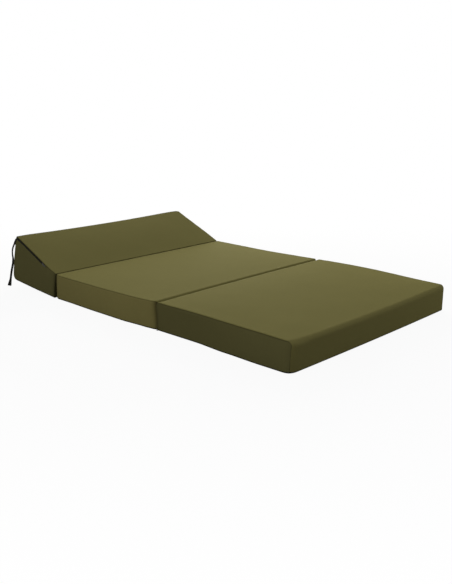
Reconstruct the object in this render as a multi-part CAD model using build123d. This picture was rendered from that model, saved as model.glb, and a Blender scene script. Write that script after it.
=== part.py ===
from build123d import *
import os
from math import atan2, cos, degrees, pi, radians, sin, tan

os.makedirs("parts", exist_ok=True)

# A folding bed of three foam sections in fabric covers: foot, middle and a wedge for the head.
# X runs across the bed, Y from the foot end to the head and Z up, in millimetres and degrees.
# The origin is on the floor, under the middle of the bed without its tie.

# The bed as it lies open
bed_width = 1200.0
foot_length = 792.0
middle_length = 776.0
wedge_length = 394.0
joint_gap = 1.6

# Height of the top along the side seams, from the foot end to the head
foot_end_height = 132.0
foot_crown_height = 144.0
fold_height = 138.0
middle_dip_height = 130.0
head_joint_height = 131.0
wedge_rear_height = 259.0
foot_crown_share = 0.70
middle_dip_share = 0.36
wedge_bulge_share = 0.60

# How the top differs along the centre line from the side seams
foot_centre_rise = 5.0
middle_centre_rise = 4.0
wedge_centre_sag = 8.0

# Wedge
wedge_rear_setback = 30.0
wedge_slope_bulge = 5.0
wedge_tilt = 5.5

# How far the fold lines stand clear of the covers
hinge_clearance = 0.4

# Rounding of the edges that cross the bed, and of its upright corners
foot_end_radius = 26.0
foot_toe_radius = 8.0
fold_shoulder_radius = 12.0
fold_heel_radius = 5.0
crease_radius = 4.0
middle_heel_radius = 12.0
wedge_front_heel_radius = 5.0
wedge_rear_radius = 12.0
wedge_rear_heel_radius = 28.0
foot_corner_radius = 22.0
joint_corner_radius = 8.0
wedge_corner_radius = 14.0
side_draw = 3.0
gentle_share = 0.80
gentle = None

# Fabric and foam
cover_thickness = 1.6
base_rim = 5.0
core_clearance = 0.5
rest_cut = 0.5
overrun = 10.0

# Fabric flanges that join the sections along the fold lines
flange_thickness = 1.3
flange_depth = 14.0
flange_end_inset = 12.0

# Zip round the wedge, just under the edge of its slope
zip_width = 8.0
zip_thickness = 1.2
zip_edge_distance = 2.0
zip_start = 92.0

# Slider and pull of the zip, in the slider's own frame: along the zip, up it and out from it
slider_clearance = 0.4
slider_length = 11.0
slider_width = 9.0
slider_thickness = 2.2
slider_radius = 1.6
post_length = 1.8
post_width = 1.2
post_spacing = 5.2
pin_radius = 0.6
pin_height = 1.7
pull_length = 24.0
pull_width = 6.5
pull_thickness = 1.0
pull_eye_radius = 1.5
pull_play = 0.3
pull_slot_length = 9.0
pull_slot_width = 2.6

# Tie at the near rear corner of the wedge
tab_width = 13.0
tab_thickness = 1.8
tab_length = 24.0
tab_drop = 26.0
tab_seam_gap = 0.2
tie_width = 6.0
tie_run_share = 0.45
hem_width = 20.0
hem_height = 17.0
hem_thickness = 2.4
hem_turn = -40.0

# The tie's route, from its tab down to its hem
tie_route = [
    (-601.0, 948.0, 242.8),
    (-606.5, 957.0, 220.0),
    (-611.5, 964.0, 191.5),
    (-611.0, 967.5, 161.0),
    (-612.5, 968.0, 130.0),
    (-617.0, 975.0, 100.0),
    (-619.5, 981.5, 70.0),
    (-622.5, 985.5, 42.0),
    (-623.0, 989.5, 19.0),
]


# Plane outlines with rounded corners


def moved_inward(corners, inset):
    """The corner points after each side has moved inward, and the direction of each side."""
    count = len(corners)
    points = [Vector(across, up) for across, up, radius in corners]
    ways = [(points[(i + 1) % count] - points[i]).normalized() for i in range(count)]
    moved = []
    for i, point in enumerate(points):
        before = ways[i - 1]
        after = ways[i]
        inward = Vector(-before.Y, before.X) + Vector(-after.Y, after.X)
        moved.append(point + inward * (inset / (1 + before.dot(after))))
    return moved, ways


def rounded_face(corners, inset):
    """A face from (across, up, radius) corners, anticlockwise, drawn in by inset.

    A gentle corner takes the widest arc that the shorter of its two sides allows.
    """
    points, ways = moved_inward(corners, inset)
    count = len(points)
    arcs = []
    for i, point in enumerate(points):
        before = ways[i - 1]
        after = ways[i]
        convex = before.X * after.Y > before.Y * after.X
        half_turn = radians(before.get_angle(after)) / 2
        if corners[i][2] is gentle:
            side_before = (point - points[i - 1]).length
            side_after = (points[(i + 1) % count] - point).length
            reach = gentle_share * min(side_before, side_after)
            radius = reach / tan(half_turn)
        else:
            radius = corners[i][2] - (inset if convex else -inset)
            reach = radius * tan(half_turn)
        bisector = (after - before).normalized()
        crown = point + bisector * (radius / cos(half_turn) - radius)
        arcs.append((point - before * reach, crown, point + after * reach))
    edges = []
    for i, (start, crown, end) in enumerate(arcs):
        edges.append(Line(arcs[i - 1][2], start))
        edges.append(ThreePointArc(start, crown, end))
    return Face(Wire(edges))


# Side outlines of the sections, as (along the bed, up, radius), each from its own foot end.
# They start a little under the floor, where the undersides are cut flat.


def foot_outline(centre_share):
    rise = foot_centre_rise * centre_share
    return [
        (0, -rest_cut, foot_toe_radius),
        (foot_length, -rest_cut, fold_heel_radius),
        (foot_length, fold_height + rise / 2, fold_shoulder_radius),
        (foot_length * foot_crown_share, foot_crown_height + rise, gentle),
        (0, foot_end_height + rise, foot_end_radius),
    ]


def middle_outline(centre_share):
    rise = middle_centre_rise * centre_share
    return [
        (0, -rest_cut, fold_heel_radius),
        (middle_length, -rest_cut, middle_heel_radius),
        (middle_length, head_joint_height, crease_radius),
        (middle_length * middle_dip_share, middle_dip_height + rise, gentle),
        (0, fold_height + rise / 2, fold_shoulder_radius),
    ]


def wedge_outline(centre_share):
    rear_height = wedge_rear_height - wedge_centre_sag * centre_share
    rear_top = wedge_length - wedge_rear_setback
    bulge_height = head_joint_height + (rear_height - head_joint_height) * wedge_bulge_share
    bulge = wedge_slope_bulge * centre_share + wedge_slope_bulge / 2
    return [
        (0, -rest_cut, wedge_front_heel_radius),
        (wedge_length, -rest_cut, wedge_rear_heel_radius),
        (rear_top, rear_height, wedge_rear_radius),
        (rear_top * wedge_bulge_share, bulge_height + bulge, gentle),
        (0, head_joint_height, crease_radius),
    ]


# Plan outlines, as (across the bed, along the bed, radius)


def panel_plan(length, foot_side_radius):
    """A panel, drawn in a little at the middle of its sides."""
    half = bed_width / 2
    return [
        (-half, 0, foot_side_radius),
        (half, 0, foot_side_radius),
        (half - side_draw, length / 2, gentle),
        (half, length, joint_corner_radius),
        (-half, length, joint_corner_radius),
        (-half + side_draw, length / 2, gentle),
    ]


def foot_plan(up):
    return panel_plan(foot_length, foot_corner_radius)


def middle_plan(up):
    return panel_plan(middle_length, joint_corner_radius)


wedge_rear_face = wedge_rear_height + rest_cut


def wedge_depth(up):
    """How far the leaning rear of the wedge lies from its front at one height."""
    return wedge_length - wedge_rear_setback * (up + rest_cut) / wedge_rear_face


def wedge_plan(up):
    half = bed_width / 2
    return [
        (-half, 0, joint_corner_radius),
        (half, 0, joint_corner_radius),
        (half, wedge_depth(up), wedge_corner_radius),
        (-half, wedge_depth(up), wedge_corner_radius),
    ]


# Where the joints lie along the bed


def tilted(along, up):
    """Where a point of the wedge goes, both measured from the wedge's hinge."""
    turn = radians(wedge_tilt)
    return along * cos(turn) - up * sin(turn), along * sin(turn) + up * cos(turn)


wedge_hinge_height = head_joint_height + hinge_clearance
rear_face_angle = atan2(wedge_rear_face, wedge_rear_setback)
rear_heel_reach = wedge_rear_heel_radius / tan(rear_face_angle / 2)
rear_heel_along = joint_gap / 2 + wedge_length - rear_heel_reach
rear_heel_up = wedge_rear_heel_radius - rest_cut - wedge_hinge_height
wedge_reach = tilted(rear_heel_along, rear_heel_up)[0] + wedge_rear_heel_radius
bed_length = foot_length + joint_gap + middle_length + joint_gap / 2 + wedge_reach
foot_end = -bed_length / 2
fold_line = foot_end + foot_length + joint_gap / 2
middle_start = fold_line + joint_gap / 2
head_line = middle_start + middle_length + joint_gap / 2

foot_place = Location((0, foot_end, 0))
middle_place = Location((0, middle_start, 0))
wedge_place = (
    Location((0, head_line, wedge_hinge_height))
    * Location((0, 0, 0), (wedge_tilt, 0, 0))
    * Location((0, joint_gap / 2, -wedge_hinge_height))
)


# Solids of one section, in its own frame


def crosswise(outline, inset):
    """The section's side outline carried across the bed, with its crown or sag between the sides."""
    half = bed_width / 2 + overrun
    faces = []
    for x, centre_share in ((-half, 0), (0, 1), (half, 0)):
        plane = Plane(origin=(x, 0, 0), x_dir=(0, 1, 0), z_dir=(1, 0, 0))
        faces.append(plane.location * rounded_face(outline(centre_share), inset))
    return loft(faces)


def upright(plan, inset, height):
    """The plan outline carried up through the section, whose depth may change with height."""
    faces = []
    for up in (-overrun, height + overrun):
        faces.append(Location((0, 0, up)) * rounded_face(plan(up), inset))
    return loft(faces, ruled=True)


def beside(plan, height, side):
    """The space at one side that a gusset takes, cut off at 45 degrees at the upright corners."""
    edge = side * bed_width / 2
    outside = edge + side * overrun
    faces = []
    for up in (-overrun, height + overrun):
        foot_radius = plan(up)[0][2]
        length = max(along for across, along, radius in plan(up))
        head_radius = max(radius for across, along, radius in plan(up) if along == length)
        corners = [
            (outside, -overrun, up),
            (edge - side * foot_radius, foot_radius, up),
            (edge - side * head_radius, length - head_radius, up),
            (outside, length + overrun, up),
        ]
        faces.append(Face(Wire(Polyline(*corners, close=True))))
    return loft(faces, ruled=True)


def slab(low, high):
    """A layer wider and longer than any section."""
    place = Location((0, 0, (low + high) / 2))
    return place * Box(2 * bed_width, 4 * foot_length, high - low)


def section(outline, plan, height):
    """The pieces of one section: foam core, base, two side gussets and the cover over top and ends."""
    lining_profile = crosswise(outline, cover_thickness)
    core_inset = cover_thickness + core_clearance
    whole = crosswise(outline, 0) & upright(plan, 0, height) & slab(0, height + overrun)
    lining = lining_profile & upright(plan, cover_thickness, height)
    core = crosswise(outline, core_inset) & upright(plan, core_inset, height)
    shell = whole - lining
    base = shell & slab(-overrun, base_rim)
    walls = shell & slab(base_rim, height + overrun)
    pieces = {"core": core, "base": base}
    for name, side in (("left_gusset", -1), ("right_gusset", 1)):
        pieces[name] = walls & lining_profile & beside(plan, height, side)
        walls = walls - pieces[name]
    pieces["cover"] = walls
    return pieces


def wedge_section():
    """The wedge, whose rear panel is a piece of its own below the zip."""
    pieces = section(wedge_outline, wedge_plan, wedge_rear_height)
    cover = pieces.pop("cover")
    low = wedge_rear_height - wedge_centre_sag - wedge_rear_radius
    rear_start = wedge_depth(wedge_rear_height) - wedge_rear_radius / 2
    place = Location((0, rear_start + wedge_length / 2, low / 2))
    rear = place * Box(2 * bed_width, wedge_length, low)
    pieces["slope_cover"] = cover - rear
    pieces["rear_panel"] = cover & rear
    return pieces


# Zip round the wedge: down both side edges of its slope and along its rear edge


def zip_chain():
    """A band that stands proud of the sides and the rear, at one distance below the slope's edge."""
    proud = -zip_thickness
    whole = crosswise(wedge_outline, 0) & upright(wedge_plan, 0, wedge_rear_height)
    around = crosswise(wedge_outline, proud) & upright(wedge_plan, proud, wedge_rear_height)
    above = crosswise(wedge_outline, 4 * proud)
    upper_edge = zip_edge_distance + 4 * zip_thickness
    lower_edge = upper_edge + zip_width
    band = Location((0, 0, -upper_edge)) * above - Location((0, 0, -lower_edge)) * above
    place = Location((0, zip_start + wedge_length, wedge_rear_height / 2))
    keep = place * Box(2 * bed_width, 2 * wedge_length, wedge_rear_height)
    return (around - whole) & band & keep


slope_along = wedge_length - wedge_rear_setback
slope_up = wedge_rear_height - head_joint_height
slope_angle = degrees(atan2(slope_up, slope_along))


def slider_frame():
    """On the near side of the wedge at the foot of the zip: X up the slope, Z out from the side."""
    up = head_joint_height + slope_up * zip_start / slope_along
    middle = zip_edge_distance + zip_width / 2
    slope = radians(slope_angle)
    out = -bed_width / 2 - zip_thickness - slider_clearance
    along = zip_start + middle * sin(slope) + slider_length * cos(slope)
    height = up - middle * cos(slope) + slider_length * sin(slope)
    plane = Plane(
        origin=(out, along, height),
        x_dir=(0, cos(slope), sin(slope)),
        z_dir=(-1, 0, 0),
    )
    return plane.location


pin_out = slider_thickness + pin_height


def zip_slider():
    plate = Location((0, 0, slider_thickness / 2)) * Box(slider_length, slider_width, slider_thickness)
    plate = fillet(plate.edges().filter_by(Axis.Z), slider_radius)
    body = plate
    post_height = pin_height + pin_radius
    for side in (-1, 1):
        across = side * (post_spacing + post_width) / 2
        spot = Location((0, across, slider_thickness + post_height / 2))
        body += spot * Box(post_length, post_width, post_height)
    pin = Location((0, 0, pin_out), (90, 0, 0)) * Cylinder(pin_radius, post_spacing + post_width)
    return body + pin


def zip_pull():
    """A flat tab with an eye round the slider's pin, lying down the slope."""
    eye_width = post_spacing - 2 * pull_play
    eye = Cylinder(pull_eye_radius, eye_width)
    neck_length = post_length
    neck = Location((-neck_length, 0, 0)) * Box(2 * neck_length, eye_width, pull_thickness)
    tab_centre = -2 * neck_length - pull_length / 2
    tab_face = RectangleRounded(pull_length, pull_width, pull_width / 3)
    tab_flat = Location((tab_centre, 0, -pull_thickness / 2)) * extrude(tab_face, amount=pull_thickness)
    slot_place = Location((tab_centre - pull_length / 6, 0, -pull_thickness / 2))
    slot = slot_place * extrude(SlotOverall(pull_slot_length, pull_slot_width), amount=pull_thickness)
    pull = Location((0, 0, 0), (90, 0, 0)) * eye + neck + tab_flat - slot
    hole = Location((0, 0, 0), (90, 0, 0)) * Cylinder(pin_radius + pull_play, post_spacing)
    return Location((0, 0, pin_out)) * (pull - hole)


# Fabric flanges that close the joints: low in the fold, high under the crease


def flange(middle, low):
    """A strip on the middle section's end, clear of the section that folds."""
    width = bed_width - 2 * flange_end_inset
    place = Location((0, middle, low + flange_depth / 2))
    return place * Box(width, flange_thickness, flange_depth)


# Tie at the near rear corner of the wedge


def tab_frame():
    """The middle of the tab: X out from the corner, Z up along the seam."""
    lean = atan2(wedge_rear_setback, wedge_rear_face)
    corner_depth = wedge_corner_radius * (1 - cos(radians(45)))
    up = wedge_rear_height - tab_drop - tab_length / 2
    seam = Vector(-bed_width / 2 + corner_depth, wedge_depth(up) - corner_depth, up)
    outward = Vector(-1, 1, 0).normalized()
    middle = seam + outward * (tab_seam_gap + tab_width / 2)
    return Plane(origin=middle, x_dir=outward, z_dir=(0, -sin(lean), cos(lean))).location


def tie_tab():
    """A folded tab in the upright corner seam, standing off the corner at 45 degrees."""
    return tab_frame() * Box(tab_width, tab_thickness, tab_length)


def tie_path():
    """The tie's route as straight runs joined by tangent arcs."""
    points = [Vector(*point) for point in tie_route]
    radii = []
    for before, here, after in zip(points, points[1:], points[2:]):
        half_turn = radians((here - before).get_angle(after - here)) / 2
        run = min((here - before).length, (after - here).length)
        radii.append(tie_run_share * run / tan(half_turn))
    print("tie radii", [round(radius) for radius in radii])
    return FilletPolyline(*points, radius=radii)


def tie(path):
    """The free run of the tie, a plain tube."""
    start = Plane(origin=path @ 0, z_dir=path % 0)
    tube = sweep(start.location * Circle(tie_width / 2), path=path)
    plain_volume = pi * (tie_width / 2) ** 2 * path.length
    print("tie length", round(path.length, 1), "volume share", round(tube.volume / plain_volume, 6))
    return tube


def tie_hem(path):
    """The wider folded end of the tie, in line with its last run."""
    across = Vector(1, 0, 0).rotate(Axis.Z, hem_turn)
    plane = Plane(origin=path @ 1, x_dir=across, z_dir=path % 1)
    return plane.location * Location((0, 0, hem_height / 2)) * Box(hem_width, hem_thickness, hem_height)


# The whole bed, each piece in its place

pieces = {}
for name, solid in section(foot_outline, foot_plan, foot_crown_height).items():
    pieces["foot_" + name] = foot_place * solid
for name, solid in section(middle_outline, middle_plan, fold_height).items():
    pieces["middle_" + name] = middle_place * solid
for name, solid in wedge_section().items():
    pieces["wedge_" + name] = wedge_place * solid
pieces["wedge_zip"] = wedge_place * zip_chain()
pieces["zip_slider"] = wedge_place * slider_frame() * zip_slider()
pieces["zip_pull"] = wedge_place * slider_frame() * zip_pull()
fold_flange_middle = middle_start - flange_thickness / 2
pieces["fold_flange"] = flange(fold_flange_middle, fold_heel_radius)
crease_flange_middle = middle_start + middle_length + flange_thickness / 2
crease_flange_low = head_joint_height - crease_radius - flange_depth
pieces["crease_flange"] = flange(crease_flange_middle, crease_flange_low)
pieces["tie_tab"] = wedge_place * tie_tab()
tab_end = (wedge_place * tab_frame() * Location((0, 0, -tab_length / 2))).position
route = tie_path()
pieces["tie"] = tie(route)
pieces["tie_hem"] = tie_hem(route)

for name, solid in pieces.items():
    export_step(solid, "parts/" + name + ".step")

# Where the joints lie, for the record
slider_at = (wedge_place * slider_frame()).position
slider_way = Vector(0, cos(radians(slope_angle + wedge_tilt)), sin(radians(slope_angle + wedge_tilt)))
zip_leg = (slope_along - zip_start) / cos(radians(slope_angle))
print("bed length", round(bed_length, 2))
print("fold line y", round(fold_line, 3), "z", -hinge_clearance)
print("crease line y", round(head_line, 3), "z", wedge_hinge_height)
print("slider at", slider_at, "moves along", slider_way)
print("slider travel", round(zip_leg - wedge_rear_radius - 2 * slider_length, 1))
print("pull pin at", slider_at - Vector(pin_out, 0, 0))
print("tab's lower end", tab_end)
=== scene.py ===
from math import cos, pi, radians, sin, sqrt, tan

import bpy
import numpy as np
from mathutils import Matrix, Vector, noise
from mathutils.bvhtree import BVHTree


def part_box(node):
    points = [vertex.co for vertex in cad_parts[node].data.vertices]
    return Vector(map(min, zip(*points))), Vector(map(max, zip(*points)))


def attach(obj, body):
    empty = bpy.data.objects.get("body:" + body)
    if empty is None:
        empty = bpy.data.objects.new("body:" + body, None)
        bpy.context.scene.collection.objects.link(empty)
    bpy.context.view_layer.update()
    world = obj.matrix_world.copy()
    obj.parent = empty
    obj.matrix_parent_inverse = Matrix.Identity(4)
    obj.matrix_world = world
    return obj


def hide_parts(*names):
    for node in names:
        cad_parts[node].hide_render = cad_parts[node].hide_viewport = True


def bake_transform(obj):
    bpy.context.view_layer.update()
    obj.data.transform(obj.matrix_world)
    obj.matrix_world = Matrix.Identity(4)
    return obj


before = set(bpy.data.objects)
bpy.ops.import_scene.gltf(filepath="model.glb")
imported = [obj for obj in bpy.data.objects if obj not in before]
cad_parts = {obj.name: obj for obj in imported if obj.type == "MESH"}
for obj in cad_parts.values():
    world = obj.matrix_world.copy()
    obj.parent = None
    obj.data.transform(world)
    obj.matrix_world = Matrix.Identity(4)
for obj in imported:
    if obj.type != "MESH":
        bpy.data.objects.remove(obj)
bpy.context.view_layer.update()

# A folding bed in three sections, each foam in a sewn cover: foot, middle and a wedge for the head.
# Everything is in metres. Along runs from a section's foot end to its head end, up from the floor.

# Sizes that all sections share. A gentle corner is as round as its two lines allow.
HALF_WIDTH = 0.600
SIDE_BELLY = 0.010
GENTLE = None
GENTLE_SHARE = 0.80
RIM = 0.005
FABRIC = 0.0016
JOINT_GAP = 0.0016
HINGE_CLEARANCE = 0.0004

# Foot section
FOOT_LENGTH = 0.792
FOOT_END_HEIGHT = 0.1305
FOOT_CROWN_HEIGHT = 0.144
FOOT_CROWN_SHARE = 0.70
FOOT_CENTRE_RISE = 0.005
FOOT_END_SAG = 0.001
FOOT_END_RADIUS = 0.020
FOOT_ROLL_RADIUS = 0.027
FOOT_ROLL_PLACE = 0.055
FOOT_ROLL_REACH = 0.040
FOOT_TOE_RADIUS = 0.008
FOOT_NEAR_CORNER_RADIUS = 0.046
FOOT_FAR_CORNER_RADIUS = 0.016
FOOT_SEAM_ANGLE = radians(46)

# Middle section
MIDDLE_LENGTH = 0.776
FOLD_HEIGHT = 0.138
MIDDLE_DIP_HEIGHT = 0.130
MIDDLE_DIP_SHARE = 0.36
MIDDLE_CENTRE_RISE = 0.004
MIDDLE_HEEL_RADIUS = 0.012
HEAD_JOINT_HEIGHT = 0.131
FOLD_MIDDLE_SHOULDER_RADIUS = 0.009
FOLD_FOOT_SHOULDER_RADIUS = 0.030
FOLD_HEEL_RADIUS = 0.005
CREASE_RADIUS = 0.007
FOLD_MIDDLE_NEAR_RADIUS = 0.024
FOLD_MIDDLE_FAR_RADIUS = 0.008
FOLD_FOOT_CORNER_RADIUS = 0.007
CREASE_MIDDLE_CORNER_RADIUS = 0.012
CREASE_WEDGE_CORNER_RADIUS = 0.006
JOINT_SEAM_ANGLE = radians(12)
# The painted shade in the joints' upright seams reaches far: distances to them count at this share
JOINT_SEAM_EASE = 0.15

# Wedge section
WEDGE_LENGTH = 0.394
WEDGE_REAR_HEIGHT = 0.256
WEDGE_REAR_SETBACK = 0.030
WEDGE_CENTRE_SAG = 0.008
WEDGE_SLOPE_BULGE = 0.005
WEDGE_BULGE_SHARE = 0.60
WEDGE_FRONT_HEEL_RADIUS = 0.005
WEDGE_REAR_RADIUS = 0.012
WEDGE_REAR_CORNER_RADIUS = 0.020
WEDGE_REAR_HEEL_RADIUS = 0.040
WEDGE_REAR_BULGE = 0.005
WEDGE_CORNER_RADIUS = 0.014
WEDGE_TILT = radians(5.5)

# Where the joints lie, from the frame
FOOT_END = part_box("foot_cover")[0].y
FOLD_LINE = FOOT_END + FOOT_LENGTH + JOINT_GAP / 2
HEAD_LINE = FOLD_LINE + MIDDLE_LENGTH + JOINT_GAP
WEDGE_HINGE_HEIGHT = HEAD_JOINT_HEIGHT + HINGE_CLEARANCE


def linked(name, data):
    """A new object in the scene."""
    made = bpy.data.objects.new(name, data)
    bpy.context.scene.collection.objects.link(made)
    return made


# Camera at the photograph's viewing angle


def make_camera():
    place = Vector((-2.8026, -2.6987, 1.0903))
    target = Vector((-0.2117, -0.2666, 0.120))
    roll = radians(0.09)
    data = bpy.data.cameras.new("camera")
    data.lens = 47.24
    data.sensor_width = 36.0
    camera = linked("camera", data)
    turn = (target - place).to_track_quat("-Z", "Y").to_matrix() @ Matrix.Rotation(roll, 3, "Z")
    camera.matrix_world = Matrix.Translation(place) @ turn.to_4x4()
    bpy.context.scene.camera = camera


make_camera()


# Side outlines of the sections, as (along, up, radius): up the foot end, over the top, down the head end


def foot_outline(centre_share, corner=False):
    rise = FOOT_CENTRE_RISE * centre_share
    return [
        (0, 0, FOOT_TOE_RADIUS),
        (0, FOOT_END_HEIGHT - FOOT_END_SAG * centre_share, FOOT_ROLL_RADIUS if corner else FOOT_END_RADIUS),
        (FOOT_LENGTH * FOOT_CROWN_SHARE, FOOT_CROWN_HEIGHT + rise, GENTLE),
        (FOOT_LENGTH, FOLD_HEIGHT + rise / 2, FOLD_FOOT_SHOULDER_RADIUS),
        (FOOT_LENGTH, 0, FOLD_HEEL_RADIUS),
    ]


def middle_outline(centre_share, corner=False):
    rise = MIDDLE_CENTRE_RISE * centre_share
    return [
        (0, 0, FOLD_HEEL_RADIUS),
        (0, FOLD_HEIGHT + rise / 2, FOLD_MIDDLE_SHOULDER_RADIUS),
        (MIDDLE_LENGTH * MIDDLE_DIP_SHARE, MIDDLE_DIP_HEIGHT + rise, GENTLE),
        (MIDDLE_LENGTH, HEAD_JOINT_HEIGHT, CREASE_RADIUS),
        (MIDDLE_LENGTH, 0, MIDDLE_HEEL_RADIUS),
    ]


def wedge_outline(centre_share, corner=False):
    rear_height = WEDGE_REAR_HEIGHT - WEDGE_CENTRE_SAG * centre_share
    rear_top = WEDGE_LENGTH - WEDGE_REAR_SETBACK
    bulge_height = HEAD_JOINT_HEIGHT + (rear_height - HEAD_JOINT_HEIGHT) * WEDGE_BULGE_SHARE
    bulge = WEDGE_SLOPE_BULGE * centre_share + WEDGE_SLOPE_BULGE / 2
    return [
        (0, 0, WEDGE_FRONT_HEEL_RADIUS),
        (0, HEAD_JOINT_HEIGHT, CREASE_RADIUS),
        (rear_top * WEDGE_BULGE_SHARE, bulge_height + bulge, GENTLE),
        (rear_top, rear_height, WEDGE_REAR_CORNER_RADIUS if corner else WEDGE_REAR_RADIUS),
        (WEDGE_LENGTH, 0, WEDGE_REAR_HEEL_RADIUS),
    ]


# How far each side bellies out along a section, as places and shares, at the floor and at the top edge:
# the near side is -1 and the far side is 1
FOOT_BELLY = {
    -1: (
        ([0, 0.2, 0.45, 0.7, 1], [1.3, 1.3, 0.65, -0.6, -0.6]),
        ([0, 0.15, 0.5, 0.85, 1], [0.0, 0.3, 0.9, 0.7, 0.2])),
    1: (
        ([0, 0.2, 0.45, 0.7, 1], [0.15, 0.2, 0.5, -0.3, -0.5]),
        ([0, 0.15, 0.5, 1], [0.1, 0.0, 0.9, 0.6])),
}
MIDDLE_BELLY = {
    -1: (
        ([0, 0.12, 0.3, 0.55, 0.9, 1], [-0.6, 0.1, 0.9, 0.7, 0, -0.1]),
        ([0, 0.12, 0.4, 0.8, 0.93, 1], [0.2, 0.6, 0.5, 0.4, 0.4, -0.6])),
    1: (
        ([0, 0.12, 0.3, 0.55, 0.9, 1], [-0.5, 0.2, 0.9, 0.7, 0, -0.1]),
        ([0, 0.4, 1], [1.0, 1.0, 1.6])),
}
WEDGE_BELLY = {
    -1: (
        ([0, 0.5, 1], [0.2, 0.5, 0.5]),
        ([0, 0.14, 0.22, 0.94, 1], [-0.7, -0.1, 0, 0, -0.8])),
    1: (
        ([0, 0.5, 1], [0.2, 0.5, 0.5]),
        ([0, 0.2, 0.37, 0.5, 0.74, 0.94, 1], [1.4, 1.25, 0.8, 0.45, -0.05, 0, -0.8])),
}


# Curves and grids of points


ARC_STEPS = 24
EDGE_STEPS = [0, 0.0015, 0.0032, 0.0055, 0.0085, 0.0125, 0.018, 0.025, 0.034, 0.045]


def graded(length, step):
    """Positions from 0 to length, close together near both ends."""
    edge = [place for place in EDGE_STEPS if place < length / 2 - EDGE_STEPS[1]]
    inner = length - 2 * edge[-1]
    count = max(1, round(inner / step))
    middle = [edge[-1] + inner * i / count for i in range(1, count)]
    return np.array(edge + middle + [length - place for place in reversed(edge)])


def outline_arcs(corners):
    """For each corner of a closed outline, its rounding as a list of points."""
    points = [Vector((along, up)) for along, up, radius in corners]
    count = len(points)
    arcs = []
    for i, point in enumerate(points):
        before = point - points[i - 1]
        after = points[(i + 1) % count] - point
        turn = after.normalized().angle_signed(before.normalized())
        half_turn = abs(turn) / 2
        if corners[i][2] is GENTLE:
            reach = GENTLE_SHARE * min(before.length, after.length)
            radius = reach / tan(half_turn)
        else:
            radius = corners[i][2]
            reach = radius * tan(half_turn)
        start = point - before.normalized() * reach
        side = 1 if turn > 0 else -1
        centre = start + side * radius * Vector((-before.y, before.x)).normalized()
        spoke = start - centre
        arc = []
        for k in range(ARC_STEPS + 1):
            swing = turn * k / ARC_STEPS
            across = spoke.x * cos(swing) - spoke.y * sin(swing)
            arc.append(centre + Vector((across, spoke.x * sin(swing) + spoke.y * cos(swing))))
        arcs.append(arc)
    return arcs


def above_rim(points):
    """The points of a heel's rounding that lie above the base's rim, with the one on it."""
    kept = [point for point in points if point.y >= RIM]
    for a, b in zip(points, points[1:]):
        if (a.y - RIM) * (b.y - RIM) < 0:
            share = (RIM - a.y) / (b.y - a.y)
            crossing = a.lerp(b, share)
            kept = [crossing] + kept if a.y < b.y else kept + [crossing]
    return kept


def eased(wanted, places, values):
    """Values that pass smoothly from one chosen place to the next."""
    wanted = np.clip(wanted, places[0], places[-1])
    made = np.zeros(np.shape(wanted))
    for a, b, start, end in zip(places, places[1:], values, values[1:]):
        t = (wanted - a) / (b - a)
        inside = (t >= 0) & (t <= 1)
        made = np.where(inside, start + (end - start) * t * t * (3 - 2 * t), made)
    return made


def hermite(places, values, wanted):
    """A smooth curve through values at increasing places, read at the wanted places, down the first axis."""
    slopes = np.gradient(values, places, axis=0)
    first = np.clip(np.searchsorted(places, wanted, side="right") - 1, 0, len(places) - 2)
    width = places[first + 1] - places[first]
    shape = (-1,) + (1,) * (values.ndim - 1)
    t = ((wanted - places[first]) / width).reshape(shape)
    width = width.reshape(shape)
    held = (2 * t**3 - 3 * t**2 + 1) * values[first] + (3 * t**2 - 2 * t**3) * values[first + 1]
    turned = (t**3 - 2 * t**2 + t) * slopes[first] + (t**3 - t**2) * slopes[first + 1]
    return held + turned * width


def lengths_along(line):
    """How far along a line each of its points lies."""
    return np.concatenate([[0], np.cumsum(np.linalg.norm(np.diff(line, axis=0), axis=1))])


def resampled(points, shares):
    """Points on a polyline at these shares of its length."""
    line = np.array([tuple(point) for point in points])
    places = lengths_along(line)
    wanted = np.asarray(shares) * places[-1]
    return np.stack([np.interp(wanted, places, line[:, k]) for k in range(line.shape[1])], 1)


def wrap_parts(corners):
    """The wrap's path over one outline in three parts: foot end, top and head end."""
    heel, front, crown, back, toe = outline_arcs(corners)
    half = ARC_STEPS // 2
    wall_start = above_rim(heel) or [Vector((heel[-1].x, RIM))]
    wall_end = above_rim(toe) or [Vector((toe[0].x, RIM))]
    first = wall_start + front[: half + 1]
    top = front[half:] + crown + back[: half + 1]
    last = back[half:] + wall_end
    return first, top, last


def grid_normals(points):
    """Outward unit normals of a grid whose rows run along the wrap and whose columns run across it."""
    down = np.gradient(points, axis=0)
    across = np.gradient(points, axis=1)
    normal = np.cross(across, down)
    size = np.linalg.norm(normal, axis=2, keepdims=True)
    return normal / np.maximum(size, 1e-12)


def bump_share(distance, reach):
    """1 at a seam, falling smoothly to 0 at reach."""
    return np.clip(1 - distance / reach, 0, 1) ** 2


def seam_painted_shade(distance):
    """How much painted shade the cloth gets at a distance from a seam, from 1 in it to 0 far off."""
    return np.exp(-distance / SEAM_FADE)


def noise_field(points, size, seed):
    """Smooth noise between about -1 and 1 with features of one size, for any array of points."""
    flat = points.reshape(-1, 3)
    shift = Vector((seed * 7.31, seed * 3.17, seed * 5.53))
    values = [noise.noise(Vector(point) / size + shift) for point in flat]
    return np.array(values).reshape(points.shape[:-1])


def patch(front, back, left, right):
    """A grid between four edges that meet at their ends: rows run front to back, columns left to right."""
    u = lengths_along(front) + lengths_along(back)
    v = lengths_along(left) + lengths_along(right)
    u = (u / u[-1])[None, :, None]
    v = (v / v[-1])[:, None, None]
    ruled = (1 - v) * front[None] + v * back[None] + (1 - u) * left[:, None] + u * right[:, None]
    corners = (1 - v) * ((1 - u) * front[0] + u * front[-1]) + v * ((1 - u) * back[0] + u * back[-1])
    return ruled - corners


# One section as grids of points


# Spacing of the grids, and how far the roundings of the corners reach
ACROSS_STEP = 0.014
ALONG_STEP = 0.008
CORNER_REACH = 0.060
CORNER_FADE = 3

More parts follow.
